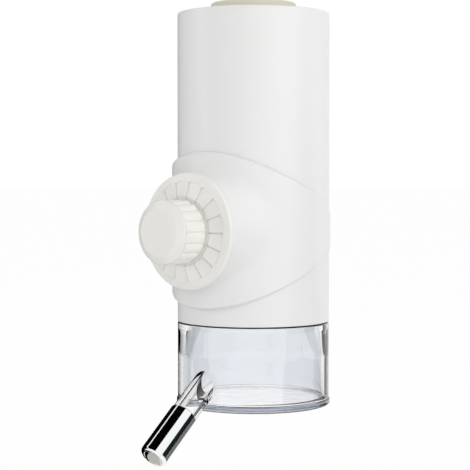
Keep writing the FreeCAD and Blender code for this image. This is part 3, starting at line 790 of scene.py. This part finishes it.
class BOTTLE_OT_disc(bpy.types.Operator):
    """Builds the clamping disc: a shallow cone with a ring of saw-tooth facets round its hub"""
    bl_idname = "bottle.build_disc"
    bl_label = "Build Clamping Disc"

    def execute(self, context):
        sizes = context.scene.clamp_sizes
        radius = (DISC_HIGH[0] - DISC_LOW[0]) / 2
        back, front = -DISC_HIGH[1], -DISC_LOW[1]
        rim = back + sizes.rim_thick
        slope = (front - rim) / (radius - sizes.hub_radius)
        bore = SHANK_RADIUS + 0.3 * MM
        pad, collar = radius - 5 * MM, bore + 1.8 * MM
        groove = sizes.hub_radius - 0.3 * MM
        groove_start, groove_floor = groove - 1.9 * MM, front - sizes.groove_sink
        hollow = back + 2.6 * MM
        profile = rounded([
            (bore, front, 0.2 * MM),
            (groove_start, front, 0.15 * MM),
            (groove_start, groove_floor, 0.3 * MM),
            (groove - 1.2 * MM, groove_floor, 0),
            (radius, rim, 0.8 * MM),
            (radius, back, 0.25 * MM),
            (pad, back, 0.3 * MM),
            (pad, back + 1.3 * MM, 0.3 * MM),
            (sizes.hub_radius, hollow, 0.3 * MM),
            (collar, hollow, 0.3 * MM),
            (collar, back, 0.2 * MM),
            (bore, back, 0.2 * MM),
        ])

        # The face between the groove and the rim: a cone, with rows that lie closer at its ends
        inside, outside = groove - 0.9 * MM, sizes.facet_radius
        after = np.flatnonzero(profile[:, 0] > radius - 1.0 * MM)[0]
        before = np.flatnonzero(profile[:after, 0] <= inside)[-1] + 1
        bands = inside, inside + 2.4 * MM, outside - 2.4 * MM, outside + 0.3 * MM
        rho = np.concatenate([
            np.linspace(low, high, count, endpoint=False)
            for low, high, count in zip(bands, bands[1:], (14, 8, 24))
        ] + [np.linspace(bands[-1], radius - 1.1 * MM, 6)])
        valley = sizes.groove_sink * (1 - eased((rho - inside) / (2.0 * MM)))
        facing = np.stack([rho, front - slope * np.maximum(rho - sizes.hub_radius, 0) - valley], 1)
        profile = np.concatenate([profile[:before], facing, profile[after:]])

        # The facets, with u from 0 to 1 across each: a step at u = 0, then an even slope with a slight
        # sag up to the crest, an outer corner that is cut round, and a fine line along the step
        places = np.array([0, 0.012, 0.025, 0.04, 0.055, 0.075, 0.1, 0.14, 0.19, 0.27, 0.37, 0.48, 0.6,
                           0.72, 0.82, 0.9, 0.93, 0.95, 0.965, 0.98, 0.99])
        crest, step, corner_end = 0.9, 0.03, 0.22
        angles = tooth_angles(sizes.teeth, places, sizes.tooth_turn)
        u = np.tile(places, sizes.teeth)[None]
        r = profile[:, :1]
        on_face = np.zeros(len(profile), bool)
        on_face[before:before + len(rho)] = True
        corner = 1.7 * MM * (1 - np.clip(u / corner_end, 0, 1)) ** 2
        cover = (eased((outside - corner - r) / (0.3 * MM))
                 * eased((r - inside - 0.15 * MM) / (0.3 * MM)))
        ramp = np.clip((crest - u) / crest, 0, 1)
        wall = np.clip(u / step, 0, 1)
        sag = 0.105 * MM * np.sin(math.pi * np.clip(u / crest, 0, 1))
        across = np.minimum(u, 1 - u) * FULL_TURN * r / sizes.teeth
        ends = (np.clip((outside - 0.2 * MM - r) / (0.5 * MM), 0, 1)
                * np.clip((r - inside) / (0.1 * MM), 0, 1))
        line = sizes.line_depth * ends * np.clip(1.3 - across / (0.32 * MM), 0, 1)
        sink = on_face[:, None] * (cover * wall * (sizes.facet_depth * ramp + sag) + line)
        points = turned_points(r, angles[None], profile[:, 1:] - sink)
        disc = skin("disc", in_clamp(points), 28.0)
        finished(disc, "clamp_plate", "clamp_white", moulded_nylon(), "clamp_disc")
        return {"FINISHED"}


class BOTTLE_OT_knob(bpy.types.Operator):
    """Builds the knob: a skirt of convex flutes, and the smooth cap behind its seam"""
    bl_idname = "bottle.build_knob"
    bl_label = "Build Knob"

    def execute(self, context):
        sizes = context.scene.clamp_sizes
        radius = (CAP_HIGH[0] - CAP_LOW[0]) / 2
        back, seam, front = -KNOB_HIGH[1], -KNOB_LOW[1], -CAP_LOW[1]
        bore, seat, recess = SHANK_RADIUS + 0.08 * MM, 9.0 * MM, -CAP_HIGH[1]
        profile = dense(rounded([
            (bore, back, 0.3 * MM),
            (radius, back, 0.8 * MM),
            (radius, seam, 0.1 * MM),
            (seat, seam, 0.1 * MM),
            (seat, recess, 0),
            (bore, recess, 0),
        ]), 1 * MM)

        # The flutes, with u from 0 to 1 across each: a parabola that sinks to its ends, and a notch
        # shaped as a bell curve between two flutes, both fading out under the seam
        places = np.array([0, 0.02, 0.04, 0.06, 0.09, 0.14, 0.22, 0.32, 0.42, 0.5, 0.58, 0.68, 0.78,
                           0.86, 0.91, 0.94, 0.96, 0.98])
        angles = tooth_angles(sizes.teeth, places, sizes.flute_turn)
        u = np.tile(places, sizes.teeth)[None]
        skirt = 11 * MM
        outer = np.clip((profile[:, :1] - skirt) / (2 * MM), 0, 1)
        fade = np.clip((seam - 0.1 * MM - profile[:, 1:]) / (1.2 * MM), 0, 1)
        crown = 0.6 * (2 * u - 1) ** 2
        arc = np.minimum(u, 1 - u) * FULL_TURN * radius / sizes.teeth
        notch = 0.4 * np.exp(-(arc / (0.26 * MM)) ** 2)
        depth = sizes.groove_depth * (crown + notch) * outer * fade
        points = turned_points(profile[:, :1] - depth, angles[None], profile[:, 1:])
        body = skin("knob", in_clamp(points), 40.0)
        finished(body, "knob", "clamp_white", moulded_nylon(), "knob_body")

        cap_profile = rounded([
            (0, recess, 0),
            (seat, recess, 0.2 * MM),
            (seat, seam, 0),
            (radius, seam, 0.1 * MM),
            (radius, front - sizes.cap_drop, 1.1 * MM),
            (radius - sizes.cap_round, front, 1.6 * MM),
            (0, front, 0),
        ], 14)
        cap = skin("knob_front", in_clamp(revolved(cap_profile, around(192))))
        finished(cap, "knob", "clamp_white", moulded_nylon(), "knob_cap")
        return {"FINISHED"}


def drum_depth(x, sizes):
    """Height of the saddle's drum out of the clamping face at x: sqrt(R^2 - x^2) + shift - axis."""
    return np.sqrt(sizes.drum_radius ** 2 - x ** 2) + sizes.drum_shift - AXIS_Y


def wedge_edge(share, sizes):
    """The wedge's edge in the drum's developed plane, as arc and height at this share of its run.

    At the angle a round the drum, X = shift + R cos(a) is the place ahead of the bottle's axis, and
    the half height falls evenly from front_half at the tank's front to tail_half at the tail.
    """
    radius = sizes.drum_radius
    tail = math.acos((-sizes.tail_reach - sizes.drum_shift) / radius)
    angle = np.linspace(0, tail, 400)
    ahead = sizes.drum_shift + radius * np.cos(angle)
    fall = (sizes.front_half - sizes.tail_half) / (TANK_RADIUS + sizes.tail_reach)
    arc = np.append(radius * angle, radius * tail)
    height = np.append(sizes.front_half - fall * (TANK_RADIUS - ahead), 0)
    run = np.append(0, np.cumsum(np.hypot(np.diff(arc), np.diff(height))))
    place = share * run[-1]
    return np.interp(place, run, arc), np.interp(place, run, height)


def on_drum(arc, height, sizes, sink=0.0):
    """Points of the drum at this arc and height, sunk towards the bottle's axis."""
    angle = arc / sizes.drum_radius
    x = sizes.drum_radius * np.sin(angle)
    y = AXIS_Y - sizes.drum_shift - sizes.drum_radius * np.cos(angle)
    far = np.hypot(x, AXIS_Y - y)
    near = (far - sink) / far
    return np.stack([x * near, AXIS_Y - (AXIS_Y - y) * near, height + 0 * x], axis=-1)


def proud(points):
    """How far the points stand out of the tank: sqrt(x^2 + (y - axis)^2) less its radius."""
    return np.hypot(points[..., 0], points[..., 1] - AXIS_Y) - TANK_RADIUS


class BOTTLE_OT_saddle(bpy.types.Operator):
    """Builds the saddle: a wedge wrapped round the tank, with a boss that flares out of it"""
    bl_idname = "bottle.build_saddle"
    bl_label = "Build Saddle"

    def execute(self, context):
        sizes = context.scene.saddle_sizes
        t = around(384)[None]
        side, up = np.sin(t), np.cos(t)

        # The face and its rounded edge, as rings about the knob's axis
        bore, chamfer = SHANK_RADIUS, 0.3 * MM
        draft, ease = sizes.boss_draft, 1.6 * MM
        flat = sizes.boss_radius - ease
        bend = np.linspace(math.pi / 2, draft, 9)
        rho = np.concatenate([[bore, bore, bore + chamfer, flat - 0.6 * MM],
                              flat + ease * np.cos(bend)])[:, None]
        out = np.concatenate([[-sizes.boss_wall, -chamfer, 0, 0],
                              ease * np.sin(bend) - ease])[:, None]
        face = np.stack([rho * side, -out + 0 * t, rho * up], axis=-1)

        # The flare: a cubic curve from the boss's side, along its draft, to the drum, along its slope
        end_x = sizes.flare_radius * side
        end_out = drum_depth(end_x, sizes)
        slope = -end_x * side / np.sqrt(sizes.drum_radius ** 2 - end_x ** 2)
        start_rho, start_out = rho[-1, 0], out[-1, 0]
        reach = 0.45 * (start_out - end_out)
        back = 0.6 * (sizes.flare_radius - start_rho)
        b = np.linspace(0, 1, 27)[1:, None]
        curve_rho = cubic(b, start_rho, start_rho + reach * math.sin(draft),
                          sizes.flare_radius - back, sizes.flare_radius)
        curve_out = cubic(b, start_out, start_out - reach * math.cos(draft),
                          end_out - back * slope, end_out)
        flare = np.stack([curve_rho * side, -curve_out, curve_rho * up], axis=-1)

        # The wedge, in the drum's developed plane, from the flare's end to the inset edge
        share = np.arcsin(np.clip(np.abs(side), 0, 1)) / (math.pi / 2)
        edge_arc, edge_height = wedge_edge(share, sizes)
        edge_arc, edge_height = edge_arc * np.sign(side), edge_height * np.sign(up)
        start_arc = sizes.drum_radius * np.arcsin(end_x / sizes.drum_radius)
        start_height = sizes.flare_radius * up
        along = np.roll(edge_arc, -1, 1) - np.roll(edge_arc, 1, 1)
        climb = np.roll(edge_height, -1, 1) - np.roll(edge_height, 1, 1)
        length = np.hypot(along, climb)
        in_arc, in_height = climb / length, -along / length
        thick = proud(on_drum(edge_arc, edge_height, sizes))
        slant = thick * sizes.edge_slant
        v = np.linspace(0, 1, 15)[1:, None]
        inset_arc, inset_height = edge_arc + in_arc * slant, edge_height + in_height * slant
        wedge = on_drum(start_arc + (inset_arc - start_arc) * v,
                        start_height + (inset_height - start_height) * v, sizes)

        # The edge: it leans out as it falls to the tank, and stops over a thin parting line
        q = np.array([0.15, 0.3, 0.5, 0.7, 0.85])[:, None]
        near = np.clip(q * 1.1 - 0.08, 0, 1) * np.minimum(1, q + 0.35)
        lean = slant * (1 - q)
        lip = on_drum(edge_arc + in_arc * lean, edge_height + in_height * lean,
                      sizes, near * thick * 0.9)
        lifted = thick - np.minimum(sizes.parting, 0.3 * thick)
        land, bite = 0.7 * MM, 0.05 * MM
        cut_arc, cut_height = edge_arc + in_arc * land, edge_height + in_height * land
        foot = np.concatenate([
            on_drum(edge_arc, edge_height, sizes, lifted),
            on_drum(cut_arc, cut_height, sizes, lifted),
            on_drum(cut_arc, cut_height, sizes, thick + bite)])

        # The inner side: back along the tank's wall, and up round the boss's hollow
        hollow = sizes.boss_radius - sizes.boss_wall
        w = np.linspace(1, 0, 8)[1:, None]
        under_arc = start_arc + (cut_arc - start_arc) * w
        under_height = start_height + (cut_height - start_height) * w
        gap = proud(on_drum(under_arc, under_height, sizes)) + bite
        under = on_drum(under_arc, under_height, sizes, gap)
        seat = np.sqrt(TANK_RADIUS ** 2 - (hollow * side) ** 2) - AXIS_Y
        ring = np.stack([hollow * side, -seat, hollow * up], axis=-1)
        roof = np.stack([hollow * side, sizes.boss_wall + 0 * t, hollow * up], axis=-1)
        points = np.concatenate([face, flare, wedge, lip, foot, under, ring, roof])
        saddle = skin("saddle", points, 40.0)
        finished(saddle, "bottle", "white_gloss", moulded_abs(), "mount_saddle")
        return {"FINISHED"}


class BOTTLE_OT_stud(bpy.types.Operator):
    """Builds the stud: a square head, |x|^14 + |y|^14 = half^14, and a threaded shank"""
    bl_idname = "bottle.build_stud"
    bl_label = "Build Stud"

    def execute(self, context):
        sizes = context.scene.clamp_sizes
        half = (STUD_HIGH[0] - STUD_LOW[0]) / 2
        head_back, tip = -STUD_HIGH[1], -STUD_LOW[1]
        root = head_back + 2.5 * MM
        angles = around(192)
        square = (np.abs(np.cos(angles)) ** 14 + np.abs(np.sin(angles)) ** 14) ** (-1 / 14)

        # Rows of radius, height out of the clamping face, and 1 where the section is the square
        small, bevel = 0.1 * MM, 0.4 * MM
        shank = np.linspace(root + 0.2 * MM, tip - 1.1 * MM, 160)
        rows = np.concatenate([
            [(0, head_back, 0), (half - bevel, head_back, 1), (half - small, head_back + small, 1),
             (half, head_back + bevel, 1), (half, root - bevel, 1), (half - small, root - small, 1),
             (half - bevel, root, 1), (SHANK_RADIUS, root, 0)],
            np.stack([np.full_like(shank, SHANK_RADIUS), shank, np.zeros_like(shank)], 1),
            [(SHANK_RADIUS, tip - 1 * MM, 0), (SHANK_RADIUS - 1 * MM, tip, 0), (0, tip, 0)]])
        r, out, squared = rows.T[..., None]
        ridge = thread(angles[None], out, sizes.thread_pitch, 0.4 * MM, tip + 1 * MM)
        cut = (np.abs(r - SHANK_RADIUS) < SAME_PLACE) & (out > 0.2 * MM) & (squared == 0)
        r = r * np.where(squared == 1, square[None], 1) - cut * 0.5 * MM * (1 - ridge)
        points = np.stack([r * np.cos(angles), r * np.sin(angles), out + 0 * r], axis=-1)
        stud = skin("stud", in_clamp(points), 40.0)
        finished(stud, "bottle", "stud_steel", plated_steel(), "clamp_stud")
        return {"FINISHED"}


class BOTTLE_OT_frame_parts(bpy.types.Operator):
    """Gives the CAD pieces that stay in view, the seals and the spring, their materials"""
    bl_idname = "bottle.dress_frame_parts"
    bl_label = "Dress Frame Parts"

    def execute(self, context):
        finishes = {
            "cup_gasket": nitrile_rubber(),
            "pipe_seal": nitrile_rubber(),
            "valve_spring": plated_steel(),
        }
        for node, material in finishes.items():
            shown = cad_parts[node]
            shown.data.materials.clear()
            shown.data.materials.append(material)
        return {"FINISHED"}


def seen_share(tree):
    """1 for camera, glossy and clear rays, and 0 for the diffuse rays that light the object."""
    path = add_node(tree, "LightPath").outputs
    share = path["Is Camera Ray"]
    for kind in ("Is Glossy Ray", "Is Transmission Ray"):
        share = add_node(tree, "Math", {0: share, 1: path[kind]}, operation="ADD", use_clamp=True)
    return share


def flat_material(name, colour, glow=0.0, only=None):
    """A matt stage material, part of which glows at strength 1 to camera, glossy and clear rays.

    Where only is given, some rays meet it and the others pass through. After T turns in clear
    plastic and G in gloss, a ray meets "thin" where T (1 + G) < 2.5, "one" where T < 2.5,
    "mirrored" where G > 0.5, and "above" where it comes from the upper side.
    """
    material, tree = new_material(name)
    matt = add_node(tree, "BsdfDiffuse", {"Color": linear(colour)})
    light = add_node(tree, "Emission", {"Color": (1, 1, 1, 1), "Strength": 1.0})
    share = add_node(tree, "Math", {0: seen_share(tree), 1: glow}, operation="MULTIPLY")
    shader = add_node(tree, "MixShader", {0: share, 1: matt, 2: light})
    if only:
        path = add_node(tree, "LightPath").outputs
        turns, mirrors = path["Transmission Depth"], path["Glossy Depth"]
        both = add_node(tree, "Math", {0: turns, 1: mirrors, 2: turns}, operation="MULTIPLY_ADD")
        back = add_node(tree, "NewGeometry").outputs["Backfacing"]
        value, limit, test = {
            "thin": (both, 2.5, "LESS_THAN"),
            "one": (turns, 2.5, "LESS_THAN"),
            "mirrored": (mirrors, 0.5, "GREATER_THAN"),
            "above": (back, 0.5, "LESS_THAN"),
        }[only]
        shown = add_node(tree, "Math", {0: value, 1: limit}, operation=test)
        shader = add_node(tree, "MixShader", {
            0: shown, 1: add_node(tree, "BsdfTransparent"), 2: shader})
    add_node(tree, "OutputMaterial", {"Surface": shader})
    return material


def view_axes():
    """The camera's right, forward and up for a level camera at the photograph's angle."""
    turn = bpy.context.scene.stage_settings.azimuth
    return (np.array((math.cos(turn), math.sin(turn), 0)),
            np.array((-math.sin(turn), math.cos(turn), 0)), np.array((0, 0, 1)))


def camera_place():
    """Where the camera stands, in the part's frame."""
    settings = bpy.context.scene.stage_settings
    right, forward, up = view_axes()
    return ON_AXIS - forward * settings.distance - right * settings.aside + up * settings.height


def mirrored(middle, edge_angles):
    """Directions that the pipe mirrors to the camera at these surface angles, from left to right.

    With F the way from the camera to the pipe's middle, w the pipe's right-hand edge as seen and v
    the normal that faces the camera, the normal is n = cos(a) v + sin(a) w, and the direction is
    F - 2 (F . n) n.
    """
    down = nozzle_way()
    look = middle - camera_place()
    look /= np.linalg.norm(look)
    edge = np.cross(down, look)
    edge *= np.sign(edge @ view_axes()[0]) / np.linalg.norm(edge)
    facing = np.cross(down, edge)
    facing *= -np.sign(facing @ look)
    a = np.radians(edge_angles)[:, None]
    normal = np.cos(a) * facing + np.sin(a) * edge
    return look - 2 * (normal @ look)[:, None] * normal


def card(name, points, material, glossy):
    """A curved studio card through two rows of points, seen through clear plastic, or in gloss too."""
    rows, columns = points.shape[:2]
    index = np.arange(rows * columns).reshape(rows, columns)
    quads = np.stack([
        index[:-1, :-1], index[:-1, 1:], index[1:, 1:], index[1:, :-1]], -1).reshape(-1, 4)
    mesh = bpy.data.meshes.new(name)
    mesh.from_pydata(points.reshape(-1, 3), [], quads)
    mesh.materials.append(material)
    made = linked(name, mesh)
    made.visible_camera = False
    made.visible_diffuse = False
    made.visible_shadow = False
    made.visible_glossy = glossy


def pipe_card(name, start, end, material, lead=0.45):
    """A card that the pipe mirrors between two of its surface angles, in degrees from its middle.

    Its edges lie along the mirrored directions d + lead * down and d - 0.45 * down, at 0.7 m or
    just above the floor.
    """
    middle, down = middle_of(PIPE_LOW, PIPE_HIGH), nozzle_way()
    ways = mirrored(middle, np.linspace(start, end, 12))
    rows = np.stack([ways + down * lead, ways - down * 0.45])
    rows /= np.linalg.norm(rows, axis=-1, keepdims=True)
    drop = np.maximum(-rows[..., 2:], 1e-6)
    reach = np.minimum(0.7, 0.97 * (middle[2] - FLOOR_LEVEL) / drop)
    card(name, middle + reach * rows, material, True)


def side_card(name, start, end, material):
    """A card behind the cup, from one angle to another off the view's middle, in degrees."""
    right, forward, up = view_axes()
    a = np.radians(np.linspace(start, end, 12))[None, :, None]
    distance, top = 250 * MM, 300 * MM
    level = np.array((FLOOR_LEVEL + 1 * MM, top))[:, None, None]
    card(name, ON_AXIS + distance * (np.cos(a) * forward + np.sin(a) * right) + level * up,
         material, False)


def table_card(material):
    """A dark card that lies on the floor under the cup and to its right."""
    right, forward, up = view_axes()
    across = np.array((20 * MM, 220 * MM))[None, :, None]
    away = np.array((-40 * MM, 140 * MM))[:, None, None]
    card("table_card", ON_AXIS + right * across + forward * away + up * (FLOOR_LEVEL + 1 * MM),
         material, False)


def softbox(name, azimuth, elevation, distance, size, power):
    """A square area lamp that looks at the bottle from this angle, in degrees, azimuth 0 from -Y."""
    turn, lift = math.radians(azimuth), math.radians(elevation)
    way = np.array((math.sin(turn) * math.cos(lift), -math.cos(turn) * math.cos(lift), math.sin(lift)))
    lamp = bpy.data.lights.new(name, "AREA")
    lamp.shape = "SQUARE"
    lamp.size = size
    lamp.energy = power
    made = linked(name, lamp)
    made.location = ON_AXIS + way * distance
    made.rotation_euler = (math.pi / 2 - lift, 0, turn)
    made.visible_glossy = False
    made.visible_transmission = False


class BOTTLE_OT_stage(bpy.types.Operator):
    """Builds the pale floor, the studio light, the cards that the steel reflects, and the camera"""
    bl_idname = "bottle.build_stage"
    bl_label = "Build Stage"

    def execute(self, context):
        scene = context.scene
        edge = around(96)
        radius = 30.0
        disc = revolved(np.array([(radius, FLOOR_LEVEL)]), edge)[0]
        mesh = bpy.data.meshes.new("floor")
        mesh.from_pydata(disc, [], [tuple(range(len(edge)))])
        mesh.materials.append(flat_material("matt_white_floor", "#FEFEFE", 0.97, "above"))
        floor = linked("floor", mesh)

        # What the pipe mirrors, from its left edge to its right
        sheer = flat_material("sheer_black_card", CARD_BLACK, only="thin")
        one = flat_material("arm_black_card", CARD_BLACK, only="one")
        grey = flat_material("grey_card", "#8C8C8C", only="mirrored")
        slate = flat_material("slate_card", "#1C2629", only="mirrored")
        pipe_card("far_left_card", -88, -64, sheer, 1.3)
        pipe_card("left_card", -64, -47.5, one, 1.3)
        pipe_card("overhead_card", -42, -7, sheer, 1.3)
        pipe_card("low_right_card", 23, 43, slate)
        pipe_card("floor_card", 43.2, 64, grey)

        # What shows through the clear cup at its edges
        inner = flat_material("edge_black_card", CARD_BLACK, only="mirrored")
        pale = flat_material("pale_card", "#202020", 0.82)
        side_card("right_flag", 24, 45, inner)
        side_card("right_pale_flag", 16, 25.5, pale)
        side_card("left_pale_flag", -36, -16, pale)
        table_card(inner)

        softbox("key_softbox", 85, 20, 1.1, 0.7, 4.0)
        softbox("fill_softbox", -50, 8, 1.3, 0.9, 4.2)
        softbox("low_softbox", 20, -3, 1.3, 0.9, 1.8)
        softbox("top_softbox", 20, 75, 1.1, 0.9, 1.4)

        world = bpy.data.worlds.new("studio")
        world.use_nodes = True
        tree = world.node_tree
        tree.nodes.clear()
        level = add_node(tree, "MapRange", {
            "Value": seen_share(tree), "To Min": 0.53, "To Max": 1.0})
        sky = add_node(tree, "Background", {"Color": (1, 1, 1, 1), "Strength": level})
        add_node(tree, "OutputWorld", {"Surface": sky})
        scene.world = world

        scene.view_settings.view_transform = "Standard"

        lens = bpy.data.cameras.new("camera")
        lens.sensor_width = 36.0
        lens.lens = 110.3
        camera = linked("camera", lens)
        camera.location = camera_place()
        camera.rotation_euler = (
            math.pi / 2 - scene.stage_settings.tilt, 0, scene.stage_settings.azimuth)
        scene.camera = camera
        return {"FINISHED"}


class BOTTLE_PT_panel(bpy.types.Panel):
    """Lists the bottle's sizes, colours and pieces"""
    bl_idname = "BOTTLE_PT_panel"
    bl_label = "Water Bottle"
    bl_space_type = "VIEW_3D"
    bl_region_type = "UI"
    bl_category = "Water Bottle"

    def draw(self, context):
        for group in GROUPS:
            box = self.layout.box()
            owner = getattr(context.scene, group)
            for entry in owner.__annotations__:
                box.prop(owner, entry)
        for piece in PIECES:
            self.layout.operator(piece.bl_idname)


GROUPS = {
    "bottle_sizes": BottleSizes,
    "saddle_sizes": SaddleSizes,
    "clamp_sizes": ClampSizes,
    "nozzle_sizes": NozzleSizes,
    "stage_settings": StageSettings,
    "bottle_colours": BottleColours,
}

PIECES = (
    BOTTLE_OT_tank,
    BOTTLE_OT_plug,
    BOTTLE_OT_cup,
    BOTTLE_OT_nozzle,
    BOTTLE_OT_disc,
    BOTTLE_OT_knob,
    BOTTLE_OT_saddle,
    BOTTLE_OT_stud,
    BOTTLE_OT_frame_parts,
    BOTTLE_OT_stage,
)


def register():
    """Registers the property groups, the operators and the panel."""
    for group, kind in GROUPS.items():
        bpy.utils.register_class(kind)
        setattr(bpy.types.Scene, group, PointerProperty(type=kind))
    for piece in PIECES:
        bpy.utils.register_class(piece)
    bpy.utils.register_class(BOTTLE_PT_panel)


def unregister():
    """Takes the panel, the operators and the property groups away again."""
    bpy.utils.unregister_class(BOTTLE_PT_panel)
    for piece in reversed(PIECES):
        bpy.utils.unregister_class(piece)
    for group, kind in GROUPS.items():
        delattr(bpy.types.Scene, group)
        bpy.utils.unregister_class(kind)


def main():
    register()
    bpy.ops.bottle.build_tank()
    bpy.ops.bottle.build_plug()
    bpy.ops.bottle.build_cup()
    bpy.ops.bottle.build_nozzle()
    bpy.ops.bottle.build_disc()
    bpy.ops.bottle.build_knob()
    bpy.ops.bottle.build_saddle()
    bpy.ops.bottle.build_stud()
    bpy.ops.bottle.dress_frame_parts()
    bpy.ops.bottle.build_stage()


if __name__ == "__main__":
    main()
